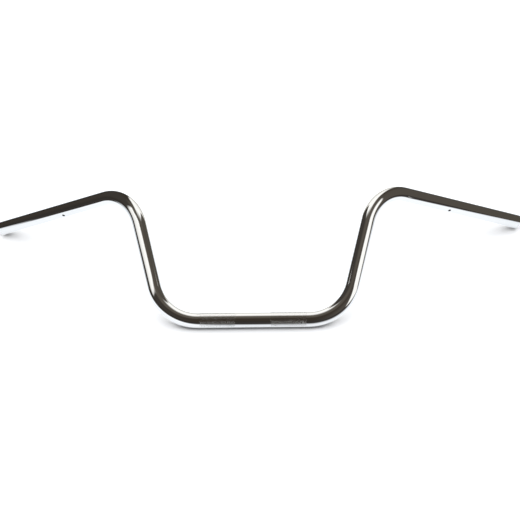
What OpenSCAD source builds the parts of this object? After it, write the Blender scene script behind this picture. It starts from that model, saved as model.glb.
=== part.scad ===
/* [Tube] */
// Outside diameter of the tube, which the clamps, switches and hand grips are made for
tube_d = 22.2; // [19:0.1:28]
// Wall thickness of the tube
wall = 2.1; // [1.2:0.1:3]
// Loss of wall thickness on each face of a bend, where bending stretches the tube
bend_loss = 0.01; // [0.01:0.01:0.1]
// Break of the sharp edge, inside and outside, at each cut end
end_break = 0.5; // [0.2:0.1:0.6]

/* [Lower bends] */
// Length of the straight middle, where the clamps hold the bar
clamp_l = 164; // [120:1:220]
// Radius of every bend, at the middle of the tube, set by the bending die
bend_r = 67; // [45:1:90]
// Lean of each upright away from the middle, from square to the straight middle
flare = 14; // [0:1:25]

/* [Uprights] */
// Straight length of each upright, between its two bends
upright_l = 102; // [60:1:220]

/* [Grips] */
// Straight length of each grip, from the upper bend to the cut end
grip_l = 225; // [180:1:280]
// Sweep of the grips towards the rider, from the line of the straight middle
sweep = 35; // [15:1:50]
// Drop of the grips towards their ends, from square to the uprights' plane of symmetry
drop = 1; // [0:1:10]

/* [Holes] */
// Diameter of the hole in each grip that takes the switch housing's locating peg
peg_hole_d = 4.5; // [3:0.5:8]
// Distance of the locating hole from the cut end
peg_hole_in = 142; // [90:1:165]
// Turn of the locating hole around the grip, forward from the grip's underside
peg_hole_turn = 21; // [0:1:60]

/* [Hidden] */
$fn = 96;
tube_r = tube_d / 2;
bore_r = tube_r - wall;
// How far a cutter runs past the face that it starts from
past = 1;
// How far the thinned wall of a bend reaches into the full wall of the straight run beside it
seat = 0.4;

// Every direction below is written with X along the straight middle, Z up the plane of the
// uprights and Y towards the rider.
lower_turn = 90 - flare;
upright_dir = [sin(flare), 0, cos(flare)];
grip_dir = [cos(sweep) * cos(drop), sin(sweep) * cos(drop), -sin(drop)];

// Frame that the lower bend ends in: upright_dir is its own Z, and these are its own X and Y
upright_x = [-cos(flare), 0, sin(flare)];
upright_y = [0, -1, 0];
// Turn of the bending plane between the two bends, and the angle of the upper bend
plane_turn = atan2(grip_dir * upright_y, grip_dir * upright_x);
upper_turn = acos(grip_dir * upright_dir);

// Frame that the upper bend ends in: grip_dir is its own Z
upper_in = upright_x * cos(plane_turn) + upright_y * sin(plane_turn);
grip_x = upper_in * cos(upper_turn) - upright_dir * sin(upper_turn);
grip_y = cross(grip_dir, grip_x);

// Direction that the locating hole is drilled in, square to the grip
under = [0, 0, -1] - grip_dir * ([0, 0, -1] * grip_dir);
under_dir = under / norm(under);
front_dir = cross(under_dir, grip_dir);
hole_dir = under_dir * cos(peg_hole_turn) + front_dir * sin(peg_hole_turn);
hole_turn = atan2(hole_dir * grip_y, hole_dir * grip_x);

// Places along the middle of the tube, from the middle of the bar to the right-hand end
upright_foot = [clamp_l / 2 + bend_r * sin(lower_turn), 0, bend_r * (1 - cos(lower_turn))];
upright_top = upright_foot + upright_dir * upright_l;
grip_root = upright_top + upper_in * bend_r * (1 - cos(upper_turn))
    + upright_dir * bend_r * sin(upper_turn);
grip_rim = grip_root + grip_dir * (grip_l - end_break);

// The bar lies on its straight middle and on the rims of its two ends. Its lean from upright is
// found by a few rounds, because the rims' height over the ground depends on it a little.
function grip_fall(lean) = grip_dir[1] * sin(lean) - grip_dir[2] * cos(lean);
function next_lean(lean) = atan2(grip_rim[2], grip_rim[1])
    + asin(tube_r * (1 - sqrt(1 - pow(grip_fall(lean), 2))) / norm([grip_rim[1], grip_rim[2]]));
function rest_lean(lean, rounds) = rounds == 0 ? lean : rest_lean(next_lean(lean), rounds - 1);
lean = rest_lean(45, 6);

module tube_section(loss) {
    difference() {
        circle(r = tube_r - loss);
        circle(r = bore_r + loss);
    }
}

// A straight run of the tube along Z, and what follows it at its far end
module run(l) {
    linear_extrude(height = l) tube_section(0);
    translate([0, 0, l]) children();
}

// A bend that starts along Z and turns towards X, and what follows it at its far end
module bend(turn) {
    seat_turn = asin(seat / bend_r);
    translate([bend_r, 0, 0])
        rotate([90, 0, 180])
            rotate([0, 0, -seat_turn])
                rotate_extrude(angle = turn + 2 * seat_turn)
                    translate([bend_r, 0]) tube_section(bend_loss);
    translate([bend_r * (1 - cos(turn)), 0, bend_r * sin(turn)])
        rotate([0, turn, 0])
            children();
}

// The last straight run, with its cut end broken inside and outside
module grip() {
    difference() {
        rotate_extrude()
            polygon([
                [bore_r, 0],
                [tube_r, 0],
                [tube_r, grip_l - end_break],
                [tube_r - end_break, grip_l],
                [bore_r + end_break, grip_l],
                [bore_r, grip_l - end_break]
            ]);
        translate([0, 0, grip_l - peg_hole_in])
            rotate([0, 90, hole_turn])
                cylinder(d = peg_hole_d, h = tube_r + past);
    }
}

// The right half of the tube, from the end of the straight middle: the lower bend, the upright,
// the upper bend and the grip
module half_bar() {
    translate([clamp_l / 2, 0, 0])
        rotate([0, -90, 180])
            bend(lower_turn)
                run(upright_l)
                    rotate([0, 0, plane_turn])
                        bend(upper_turn)
                            grip();
}

// One steel tube, bent in four places and plated
module handlebar() {
    color("lightgray")
        rotate([-lean, 0, 0]) {
            translate([-clamp_l / 2, 0, 0])
                rotate([0, 90, 0])
                    run(clamp_l);
            half_bar();
            mirror([1, 0, 0]) half_bar();
        }
}

handlebar();
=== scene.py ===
import math

import bmesh
import bpy
import numpy as np
from mathutils import Matrix, Vector


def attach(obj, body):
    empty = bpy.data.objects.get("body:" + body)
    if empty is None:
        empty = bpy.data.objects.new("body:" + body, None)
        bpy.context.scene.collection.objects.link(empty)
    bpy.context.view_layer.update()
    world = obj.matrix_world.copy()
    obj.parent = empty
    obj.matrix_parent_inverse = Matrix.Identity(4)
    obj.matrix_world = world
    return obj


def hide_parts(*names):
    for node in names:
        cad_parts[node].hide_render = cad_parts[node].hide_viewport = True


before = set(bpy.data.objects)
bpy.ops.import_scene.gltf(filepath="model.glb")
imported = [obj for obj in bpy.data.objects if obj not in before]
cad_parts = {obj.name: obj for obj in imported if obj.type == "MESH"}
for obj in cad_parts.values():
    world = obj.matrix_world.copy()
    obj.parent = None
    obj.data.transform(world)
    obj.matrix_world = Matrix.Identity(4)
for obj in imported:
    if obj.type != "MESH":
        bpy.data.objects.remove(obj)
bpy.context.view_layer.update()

# All lengths are in metres. X runs along the clamp section, and Z is up from the middle of the tube there.
scene = bpy.context.scene
scene.view_settings.view_transform = "Standard"

MM = 0.001
TUBE_R = 11.1 * MM
FLOOR_Z = -TUBE_R


# Shader helpers

class Tree:
    """A new material and its nodes. A value can be a number, a colour or another node's output."""

    def __init__(self, name):
        self.material = bpy.data.materials.new(name)
        self.material.use_nodes = True
        self.nodes = self.material.node_tree.nodes
        self.links = self.material.node_tree.links
        self.nodes.clear()
        self.out = self.node("OutputMaterial")

    def node(self, kind, **settings):
        n = self.nodes.new("ShaderNode" + kind)
        for key, value in settings.items():
            setattr(n, key, value)
        return n

    def put(self, socket, value):
        if isinstance(value, bpy.types.NodeSocket):
            self.links.new(value, socket)
        else:
            socket.default_value = (*value, 1) if isinstance(value, tuple) else value

    def math(self, op, a, b=0.0, clamp=False):
        n = self.node("Math", operation=op, use_clamp=clamp)
        self.put(n.inputs[0], a)
        self.put(n.inputs[1], b)
        return n.outputs[0]

    def ramp(self, x, low, high):
        """A soft step from 0 where x is low to 1 where x is high"""
        n = self.node("MapRange", interpolation_type="SMOOTHSTEP")
        self.put(n.inputs[0], x)
        n.inputs[1].default_value = low
        n.inputs[2].default_value = high
        return n.outputs[0]

    def mix(self, fac, a, b):
        """Colour a where fac is 0 and b where it is 1, through the Mix node's colour sockets"""
        n = self.node("Mix", data_type="RGBA")
        self.put(n.inputs[0], fac)
        self.put(n.inputs[6], a)
        self.put(n.inputs[7], b)
        return n.outputs[2]

    def noise(self, scale, detail):
        """Noise that is fixed to the object, of that many cells a metre"""
        n = self.node("TexNoise")
        self.links.new(self.node("TexCoord").outputs["Object"], n.inputs["Vector"])
        n.inputs["Scale"].default_value = scale
        n.inputs["Detail"].default_value = detail
        return n.outputs[0]

    def position(self):
        s = self.node("SeparateXYZ")
        self.links.new(self.node("NewGeometry").outputs["Position"], s.inputs[0])
        return s.outputs

    def mix_shader(self, fac, a, b):
        n = self.node("MixShader")
        self.put(n.inputs[0], fac)
        self.links.new(a, n.inputs[1])
        self.links.new(b, n.inputs[2])
        return n.outputs[0]

    def emission(self, colour):
        n = self.node("Emission")
        self.put(n.inputs[0], colour)
        return n.outputs[0]

    def diffuse(self, colour):
        n = self.node("BsdfDiffuse")
        self.put(n.inputs[0], colour)
        return n.outputs[0]

    def metal(self, colour, roughness, height, depth):
        """Ends the tree with metal whose surface rises by depth where height is 1."""
        bump = self.node("Bump")
        bump.inputs["Distance"].default_value = depth
        self.links.new(height, bump.inputs["Height"])
        p = self.node("BsdfPrincipled")
        p.inputs["Metallic"].default_value = 1.0
        self.put(p.inputs["Base Color"], colour)
        self.put(p.inputs["Roughness"], roughness)
        self.links.new(bump.outputs[0], p.inputs["Normal"])
        return self.end(p.outputs[0])

    def end(self, shader):
        self.links.new(shader, self.out.inputs[0])
        return self.material


def chrome_material():
    """Polished chrome plate: faint patches of haze, a fine grain and a slow waviness left by polishing"""
    clear, hazy = (0.87, 0.87, 0.87), (0.83, 0.835, 0.84)
    t = Tree("chrome_plate")
    haze = t.ramp(t.noise(9, 3), 0.35, 0.75)
    grain = t.math("MULTIPLY", t.noise(700, 2), 0.02)
    roughness = t.math("ADD", t.math("ADD", 0.025, t.math("MULTIPLY", haze, 0.025)), grain)
    return t.metal(t.mix(haze, clear, hazy), roughness, height=t.noise(22, 1), depth=0.25 * MM)


def bore_material():
    """Bare drawn steel inside the bore, where the plating doesn't reach: a dull grey with thin brown oxide"""
    bare, brown = (0.24, 0.225, 0.21), (0.15, 0.115, 0.09)
    t = Tree("bore_steel")
    oxide = t.ramp(t.noise(90, 5), 0.40, 0.66)
    roughness = t.math("ADD", 0.38, t.math("MULTIPLY", oxide, 0.20))
    return t.metal(t.mix(oxide, bare, brown), roughness, height=t.noise(900, 2), depth=0.1 * MM)


# The bar: the CAD tube's own path and sizes, swept finely enough for clean reflections, with the
# knurling under the clamps cut as real diamonds

BORE_R = 9 * MM
END_BREAK = 0.5 * MM
CLAMP_L = 164 * MM
BEND_R = 67 * MM
UPRIGHT_L = 102 * MM
GRIP_L = 225 * MM
FLARE, SWEEP, DROP, LEAN = (math.radians(a) for a in (14, 35, 1, 51.3474))
HOLE_R = 2.25 * MM
HOLE_IN = 142 * MM               # from the cut end
HOLE_TURN = math.radians(21)     # forward from the grip's underside
HOLE_SIDES = 40

ROUND = 108                      # points around the tube, two for each diamond of the knurling
BEND_STEP = math.radians(3)
UPRIGHT_STEPS = 6
GRIP_STEPS = 10
KNURL_FROM, KNURL_TO = 26 * MM, 79 * MM
KNURL_ROWS = 82                  # half diamonds along each knurled zone
KNURL_DEPTH = 0.06 * MM
KNURL_FLAT = 0.86                # share of each diamond that keeps the tube's own surface


def leaned(v):
    """Turns a direction of the upright bar to the bar as it lies."""
    c, s = math.cos(LEAN), math.sin(LEAN)
    return Vector((v.x, v.y * c + v.z * s, v.z * c - v.y * s))


ALONG = Vector((1, 0, 0))
UPRIGHT = leaned(Vector((math.sin(FLARE), 0, math.cos(FLARE))))
STANDING_GRIP = Vector((math.cos(SWEEP) * math.cos(DROP), math.sin(SWEEP) * math.cos(DROP), -math.sin(DROP)))
GRIP = leaned(STANDING_GRIP)


class Path:
    """The right half of the tube's middle line, as rows of place, direction and a normal that doesn't twist"""

    def __init__(self):
        self.at, self.way, self.normal = Vector((0, 0, 0)), ALONG.copy(), Vector((0, 0, 1))
        self.rows = []
        self.note()

    def note(self):
        self.rows.append((self.at.copy(), self.way.copy(), self.normal.copy()))

    def run(self, length, steps=1):
        start = self.at.copy()
        for k in range(1, steps + 1):
            self.at = start + self.way * length * k / steps
            self.note()

    def bend(self, towards):
        start, way, normal = self.at.copy(), self.way.copy(), self.normal.copy()
        turn = way.angle(towards)
        axis = way.cross(towards).normalized()
        inward = axis.cross(way)
        steps = math.ceil(turn / BEND_STEP)
        for k in range(1, steps + 1):
            w = turn * k / steps
            self.at = start + BEND_R * (math.sin(w) * way + (1 - math.cos(w)) * inward)
            spin = Matrix.Rotation(w, 3, axis)
            self.way, self.normal = spin @ way, spin @ normal
            self.note()


def bar_path():
    """The path's rows, the rows where the knurling and the broken edge of the end start, and the grip's root"""
    p = Path()
    p.run(KNURL_FROM)
    knurl_row = len(p.rows) - 1
    p.run(KNURL_TO - KNURL_FROM)
    p.run(CLAMP_L / 2 - KNURL_TO)
    p.bend(UPRIGHT)
    p.run(UPRIGHT_L, UPRIGHT_STEPS)
    p.bend(GRIP)
    grip_root = p.at.copy()
    p.run(GRIP_L - END_BREAK, GRIP_STEPS)
    rim_row = len(p.rows) - 1
    p.run(END_BREAK)
    return p.rows, knurl_row, rim_row, grip_root


def ring(row, radius, side):
    at, way, normal = row
    across = way.cross(normal)
    out = []
    for i in range(ROUND):
        w = 2 * math.pi * i / ROUND
        v = at + radius * (math.cos(w) * normal + math.sin(w) * across)
        out.append(Vector((side * v.x, v.y, v.z)))
    return out


def knurl(verts, faces, first, last, side):
    """Fills the span between two rings of the clamp section with truncated diamonds.
    first and last are the index of each ring's own first point."""
    step = (KNURL_TO - KNURL_FROM) / KNURL_ROWS

    def place(i, j, radius):
        w = 2 * math.pi * i / ROUND
        return Vector((side * (KNURL_FROM + step * j), -radius * math.sin(w), radius * math.cos(w)))

    grooves = {}

    def groove(i, j):
        """The crossing of two grooves, or at the zone's two ends a point of the ring there"""
        i %= ROUND
        if j == 0:
            return first + i
        if j == KNURL_ROWS:
            return last + i
        if (i, j) not in grooves:
            grooves[i, j] = len(verts)
            verts.append(place(i, j, TUBE_R - KNURL_DEPTH))
        return grooves[i, j]

    for j in range(1, KNURL_ROWS):
        for i in range(ROUND):
            if (i + j) % 2 == 0:
                continue
            around = ((i - 1, j), (i, j - 1), (i + 1, j), (i, j + 1))
            top = []
            for ci, cj in around:
                top.append(len(verts))
                verts.append(place(i + (ci - i) * KNURL_FLAT, j + (cj - j) * KNURL_FLAT, TUBE_R))
            faces.append(tuple(top))
            foot = [groove(ci, cj) for ci, cj in around]
            for k in range(4):
                m = (k + 1) % 4
                faces.append((foot[k], foot[m], top[m], top[k]))
    # Half diamonds that close the zone against the plain ring at each end
    for base, j, parity in ((first, 1, 1), (last, KNURL_ROWS - 1, (KNURL_ROWS + 1) % 2)):
        for i in range(parity, ROUND, 2):
            before, after = (i - 1) % ROUND, (i + 1) % ROUND
            faces.append((base + before, base + i, groove(i, j)))
            faces.append((base + i, base + after, groove(i, j)))


def bar_mesh():
    """The whole tube without its holes, closed at both ends, with its path's rows and the right grip's root"""
    rows, knurl_row, rim_row, grip_root = bar_path()
    verts, faces = [], []

    def add_ring(row, radius, side):
        start = len(verts)
        verts.extend(ring(row, radius, side))
        return start

    def join(p, q):
        for i in range(ROUND):
            m = (i + 1) % ROUND
            faces.append((p + i, p + m, q + m, q + i))

    skins = []
    for radius, lip in ((TUBE_R, TUBE_R - END_BREAK), (BORE_R, BORE_R + END_BREAK)):
        middle = add_ring(rows[0], radius, 1)
        ends = []
        for side in (1, -1):
            before = middle
            for n in range(1, rim_row + 1):
                # The bore is hardly seen, so it takes only every second ring
                if radius == BORE_R and n % 2 and n not in (1, rim_row):
                    continue
                here = add_ring(rows[n], radius, side)
                if radius == TUBE_R and n == knurl_row + 1:
                    knurl(verts, faces, before, here, side)
                else:
                    join(before, here)
                before = here
            tip = add_ring(rows[rim_row + 1], lip, side)
            join(before, tip)
            ends.append(tip)
        skins.append(ends)
    for outer, inner in zip(*skins):
        join(outer, inner)

    mesh = bpy.data.meshes.new("chrome_bar")
    mesh.from_pydata(verts, [], faces)
    bm = bmesh.new()
    bm.from_mesh(mesh)
    bmesh.ops.recalc_face_normals(bm, faces=bm.faces)
    bm.to_mesh(mesh)
    bm.free()
    return mesh, rows, grip_root


def hole_cutter(grip_root):
    """Two round cutters, one for each grip's locating hole, from the middle of the tube outward"""
    under = Vector((0, 0, -1))
    under = (under - STANDING_GRIP * under.dot(STANDING_GRIP)).normalized()
    front = under.cross(STANDING_GRIP)
    drill = leaned(under * math.cos(HOLE_TURN) + front * math.sin(HOLE_TURN))
    start = grip_root + GRIP * (GRIP_L - HOLE_IN)
    reach = TUBE_R + MM
    bm = bmesh.new()
    for side in (1, -1):
        at, way = start.copy(), drill.copy()
        at.x, way.x = side * at.x, side * way.x
        turn = way.to_track_quat("Z", "Y").to_matrix().to_4x4()
        bmesh.ops.create_cone(bm, cap_ends=True, segments=HOLE_SIDES, radius1=HOLE_R, radius2=HOLE_R,
                              depth=reach, matrix=Matrix.Translation(at + way * reach / 2) @ turn)
    mesh = bpy.data.meshes.new("hole_cutter")
    bm.to_mesh(mesh)
    bm.free()
    return bpy.data.objects.new("hole_cutter", mesh)


def cut(mesh, cutter):
    tube = bpy.data.objects.new("uncut", mesh)
    for o in (tube, cutter):
        scene.collection.objects.link(o)
    m = tube.modifiers.new("holes", "BOOLEAN")
    m.operation, m.solver, m.object = "DIFFERENCE", "EXACT", cutter
    done = bpy.data.meshes.new_from_object(tube.evaluated_get(bpy.context.evaluated_depsgraph_get()))
    for o in (tube, cutter):
        bpy.data.objects.remove(o)
    return done


def middle_line(rows, fine=4):
    """Both halves of the middle line in close steps, as rows of x, y, z and the direction there"""
    line = []
    for (p, p_way, _), (q, q_way, _) in zip(rows, rows[1:]):
        for k in range(fine):
            line.append((*p.lerp(q, k / fine), *p_way.lerp(q_way, k / fine).normalized()))
    line = np.array(line)
    return np.concatenate((line, line * (-1, 1, 1, 1, -1, -1)))


def finish_skin(mesh, rows, slack=0.03 * MM, batch=2000):
    """Gives the tube's surface its true normals, and the bore its own material. Faces with a corner more than
    slack below the skin, such as the knurling's grooves, stay flat."""
    line = middle_line(rows)
    co = np.empty(len(mesh.vertices) * 3)
    mesh.vertices.foreach_get("co", co)
    co = co.reshape(-1, 3)
    out = np.empty_like(co)
    for k in range(0, len(co), batch):
        part = co[k:k + batch]
        near = line[np.argmin(((part[:, None, :] - line[None, :, :3]) ** 2).sum(2), axis=1)]
        off = part - near[:, :3]
        out[k:k + batch] = off - near[:, 3:] * (off * near[:, 3:]).sum(1)[:, None]
    radius = np.linalg.norm(out, axis=1)
    out /= radius[:, None]
    on_tube = radius > TUBE_R - slack
    on_bore = radius < BORE_R + slack
    normals = np.empty((len(mesh.loops), 3))
    for face in mesh.polygons:
        corners = list(face.vertices)
        span = slice(face.loop_start, face.loop_start + face.loop_total)
        if on_tube[corners].all():
            normals[span] = out[corners]
        elif on_bore[corners].all():
            normals[span] = -out[corners]
            face.material_index = 1
        else:
            normals[span] = face.normal
        face.use_smooth = True
    mesh.normals_split_custom_set(normals.tolist())


tube_mesh, tube_rows, right_root = bar_mesh()
tube_mesh = cut(tube_mesh, hole_cutter(right_root))
tube_mesh.name = "chrome_bar"
tube_mesh.materials.clear()
tube_mesh.materials.append(chrome_material())
tube_mesh.materials.append(bore_material())
finish_skin(tube_mesh, tube_rows)
bar = bpy.data.objects.new("chrome_bar", tube_mesh)
scene.collection.objects.link(bar)
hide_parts("handlebar")
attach(bar, "root")


# The stage, which is no part of the object: a white floor, and what the chrome reflects around it

def stage_mesh(name, verts, faces, material, glossy_only=True, uv=False):
    mesh = bpy.data.meshes.new(name)
    mesh.from_pydata(verts, [], faces)
    if uv:
        layer = mesh.uv_layers.new(name="uv")
        for k, at in enumerate(((0, 0), (1, 0), (1, 1), (0, 1))):
            layer.data[k].uv = at
    mesh.materials.append(material)
    o = bpy.data.objects.new(name, mesh)
    scene.collection.objects.link(o)
    if glossy_only:
        o.visible_camera = False
        o.visible_diffuse = False
        o.visible_shadow = False
        o.visible_transmission = False


# The floor's size, and the edge of the white painted into the floor's reflection, in x and y. The camera sees
# no such edge.
FLOOR_HALF = 6.0
PAINTED_REFLECTION_EDGE = [
    (-1.0, 0.12), (-0.72, 0.11), (-0.60, 0.14), (-0.50, 0.16), (-0.46, 0.09), (-0.42, -0.01), (-0.37, -0.07),
    (-0.25, -0.115), (-0.15, -0.08), (-0.10, -0.050), (-0.05, -0.026), (0.05, -0.024), (0.10, -0.028),
    (0.14, -0.020), (0.19, -0.008), (0.27, -0.005), (0.34, 0.030), (0.41, 0.060), (0.48, 0.090),
    (0.55, 0.12), (1.0, 0.2),
]
EDGE_X, EDGE_Y = 1.0, 0.5        # half the size of the box that the curve is drawn in
TOUCH_REACH = 10 * MM            # the floor's colour is painted darker where the bar is nearer than this
CLAMP_SIDE = (0.085, 0.125)      # x over which that painted shadow gets weaker, just beside the clamp section
PAINTED_REFLECTION_FADE = (0.35, 0.75)        # x over which the painted reflection of the floor gets dimmer


def painted_reflection_cover(t, x, y, away):
    """1 where the floor's reflection is painted white and 0 beyond its edge, which is softer further from the
    middle
    """
    curve = t.node("FloatCurve")
    c = curve.mapping.curves[0]
    points = [((px + EDGE_X) / (2 * EDGE_X), (py + EDGE_Y) / (2 * EDGE_Y)) for px, py in PAINTED_REFLECTION_EDGE]
    c.points[0].location = points[0]
    c.points[1].location = points[-1]
    for at in points[1:-1]:
        c.points.new(*at)
    for point in c.points:
        point.handle_type = "AUTO_CLAMPED"
    curve.mapping.update()
    x01 = t.math("MULTIPLY", t.math("ADD", x, EDGE_X), 1 / (2 * EDGE_X), clamp=True)
    t.links.new(x01, curve.inputs["Value"])
    edge_y = t.math("SUBTRACT", t.math("MULTIPLY", curve.outputs[0], 2 * EDGE_Y), EDGE_Y)
    soft = t.math("ADD", 0.010, t.math("MULTIPLY", away, 0.06))
    return t.ramp(t.math("DIVIDE", t.math("SUBTRACT", y, edge_y), soft), -1, 1)


def floor_material():
    """White to the camera, with the bar's shadow and a painted shadow. Reflections see a painted glow, dark
    past its edge.
    """
    t = Tree("floor")
    x, y, _ = t.position()
    away = t.math("ABSOLUTE", x)

    # How open the floor is to the light, from ambient occlusion, painted in as shadow: deepest under the clamp
    # section, weaker under bends and tips
    touch = t.node("AmbientOcclusion", samples=8)
    touch.inputs["Distance"].default_value = TOUCH_REACH
    beside_clamp = t.ramp(away, *CLAMP_SIDE)
    open_sky = t.math("MAXIMUM", t.ramp(touch.outputs["AO"], 0.0, 0.60), t.math("MULTIPLY", beside_clamp, 0.8))

    # What the camera sees, a white floor with that painted shadow, and what only scatters light
    deep_shadow, white = (0.28, 0.30, 0.32), (1.40, 1.42, 1.45)
    seen = t.diffuse(t.mix(open_sky, deep_shadow, white))
    plain = t.diffuse((0.97, 0.98, 0.95))

    # What the chrome sees is a painted reflection: the floor glows white, with painted shade where the bar is
    # near and dimmer far out, and a weak diffuse part takes real shadow
    shadow_glow, painted_reflection_white, far_glow = (0.30, 0.31, 0.32), (0.90, 0.93, 0.96), (0.40, 0.42, 0.44)
    glow = t.mix(t.ramp(away, *PAINTED_REFLECTION_FADE), t.mix(open_sky, shadow_glow, painted_reflection_white), far_glow)
    painted_glow = t.node("AddShader")
    t.links.new(t.diffuse((0.22, 0.23, 0.24)), painted_glow.inputs[0])
    t.links.new(t.emission(glow), painted_glow.inputs[1])
    # Beyond that edge the reflection of the floor is painted dark
    beyond = t.emission((0.045, 0.040, 0.036))

    # The chrome throws none of the painted glow back on the floor, so the shadow stays deep
    rays = t.node("LightPath")
    direct = t.math("LESS_THAN", rays.outputs["Diffuse Depth"], 0.5)
    near = t.mix_shader(direct, beyond, painted_glow.outputs[0])
    reflected = t.mix_shader(painted_reflection_cover(t, x, y, away), beyond, near)
    unseen = t.mix_shader(rays.outputs["Is Glossy Ray"], plain, reflected)
    return t.end(t.mix_shader(rays.outputs["Is Camera Ray"], unseen, seen))


stage_mesh("floor", [(-FLOOR_HALF, -FLOOR_HALF, FLOOR_Z), (FLOOR_HALF, -FLOOR_HALF, FLOOR_Z),
                     (FLOOR_HALF, FLOOR_HALF, FLOOR_Z), (-FLOOR_HALF, FLOOR_HALF, FLOOR_Z)], [(0, 1, 2, 3)],
           floor_material(), glossy_only=False)


# The room: a dome that is dark in front, and dim at the sides and overhead
# The dome glows and is seen only in reflections: a painted reflection of the room that lights nothing.
ROOM_R = 4.0
ROOM_LIFT = 1 * MM               # keeps the dome's rim off the floor


def room_material():
    t = Tree("room")
    x, _, z = (t.math("DIVIDE", socket, ROOM_R) for socket in t.position())
    colour = t.mix(t.ramp(z, 0.0, 0.5), (0.034, 0.031, 0.028), (0.044, 0.035, 0.027))
    right_side = t.ramp(x, 0.05, 0.7)
    colour = t.mix(right_side, colour, (0.088, 0.077, 0.064))
    high_left = t.math("MULTIPLY", t.ramp(x, -0.05, -0.5), t.ramp(z, 0.15, 0.5))
    colour = t.mix(high_left, colour, (0.050, 0.044, 0.038))
    overhead = t.ramp(z, 0.80, 1.0)
    colour = t.mix(overhead, colour, (0.115, 0.10, 0.082))
    return t.end(t.emission(colour))


def dome(rings=12, segments=48):
    verts, faces = [], []
    for i in range(rings + 1):
        el = math.radians(90) * i / rings
        for j in range(segments):
            az = 2 * math.pi * j / segments
            verts.append((ROOM_R * math.cos(el) * math.cos(az), ROOM_R * math.cos(el) * math.sin(az),
                          FLOOR_Z + ROOM_LIFT + ROOM_R * math.sin(el)))
    for i in range(rings):
        for j in range(segments):
            k = (j + 1) % segments
            faces.append((i * segments + j, i * segments + k, (i + 1) * segments + k, (i + 1) * segments + j))
    return verts, faces


stage_mesh("room", *dome(), room_material())


# These glow, light nothing and are seen only in reflections, where they paint the chrome's highlights.
# Bright surfaces around the bar, each given by its corners: low left, low right, high right and high left

WHITE = (1.15, 1.14, 1.10)
HARD = 0.001                     # an edge that hardly fades
SEAM = 0.0001                    # an edge along the next card


def card(name, corners, soft, low=WHITE):
    """A bright sheet. soft is the share of it over which each edge fades: left, right, low and high. Its colour
    runs from low at its lower edge to white at its upper one."""
    t = Tree(name)
    s = t.node("SeparateXYZ")
    t.links.new(t.node("UVMap", uv_map="uv").outputs[0], s.inputs[0])
    u, v = s.outputs[0], s.outputs[1]
    left, right, below, above = soft
    sides = t.math("MULTIPLY", t.ramp(u, 0, left), t.ramp(t.math("SUBTRACT", 1.0, u), 0, right))
    ends = t.math("MULTIPLY", t.ramp(v, 0, below), t.ramp(t.math("SUBTRACT", 1.0, v), 0, above))
    light = t.emission(t.mix(t.ramp(v, 0, 1), low, WHITE))
    clear = t.node("BsdfTransparent").outputs[0]
    sheet = t.end(t.mix_shader(t.math("MULTIPLY", sides, ends), clear, light))
    stage_mesh(name, corners, [(0, 1, 2, 3)], sheet, uv=True)


card("wall_back", [(-0.16, 0.5, 0), (0.28, 0.5, 0), (0.28, 0.5, 0.45), (-0.16, 0.5, 0.45)],
     soft=(0.10, 0.12, HARD, HARD), low=(0.58, 0.56, 0.50))
card("roof_back", [(-0.16, 0.5, 0.45), (0.28, 0.5, 0.45), (0.14, 0.02, 0.60), (-0.15, 0.02, 0.60)],
     soft=(0.10, 0.12, HARD, 0.5))
card("card_right", [(0.45, 0.02, 0), (0.45, -0.24, 0), (0.45, -0.26, 0.80), (0.45, 0.205, 0.56)],
     soft=(0.05, 0.12, HARD, 0.38))
card("card_left_low", [(-0.51, 0.10, 0.17), (-0.51, -0.17, 0.17), (-0.30, -0.18, 0.39), (-0.30, 0.145, 0.39)],
     soft=(0.08, 0.12, 0.3, SEAM), low=(0.9, 0.89, 0.86))
card("card_left_high", [(-0.30, 0.085, 0.39), (-0.30, -0.18, 0.39), (-0.12, -0.18, 0.60), (-0.15, -0.08, 0.56)],
     soft=(0.08, 0.12, SEAM, 0.3))


# Plain white light from all sides
world = bpy.data.worlds.new("world")
scene.world = world
world.use_nodes = True
world.cycles.sampling_method = "NONE"
world_nodes = world.node_tree.nodes
world_nodes.clear()
background = world_nodes.new("ShaderNodeBackground")
background.inputs[0].default_value = (1, 1, 1, 1)
background.inputs[1].default_value = 1.0
world.node_tree.links.new(background.outputs[0], world_nodes.new("ShaderNodeOutputWorld").inputs[0])


# Camera, in front of the bar and looking down on it
CAMERA_AT = Vector((0.0984, -1.7544, 1.3268))
CAMERA_FORWARD = Vector((-0.03969, 0.82048, -0.57029)).normalized()
CAMERA_UP = Vector((0.01178, 0.57109, 0.82081))

right = CAMERA_FORWARD.cross(CAMERA_UP).normalized()
up = right.cross(CAMERA_FORWARD)
cam_data = bpy.data.cameras.new("camera")
cam_data.sensor_width = 36.0
cam_data.lens = 103.4
cam_data.clip_start = 0.05
cam = bpy.data.objects.new("camera", cam_data)
cam.matrix_world = Matrix.Translation(CAMERA_AT) @ Matrix((right, up, -CAMERA_FORWARD)).transposed().to_4x4()
scene.collection.objects.link(cam)
scene.camera = cam
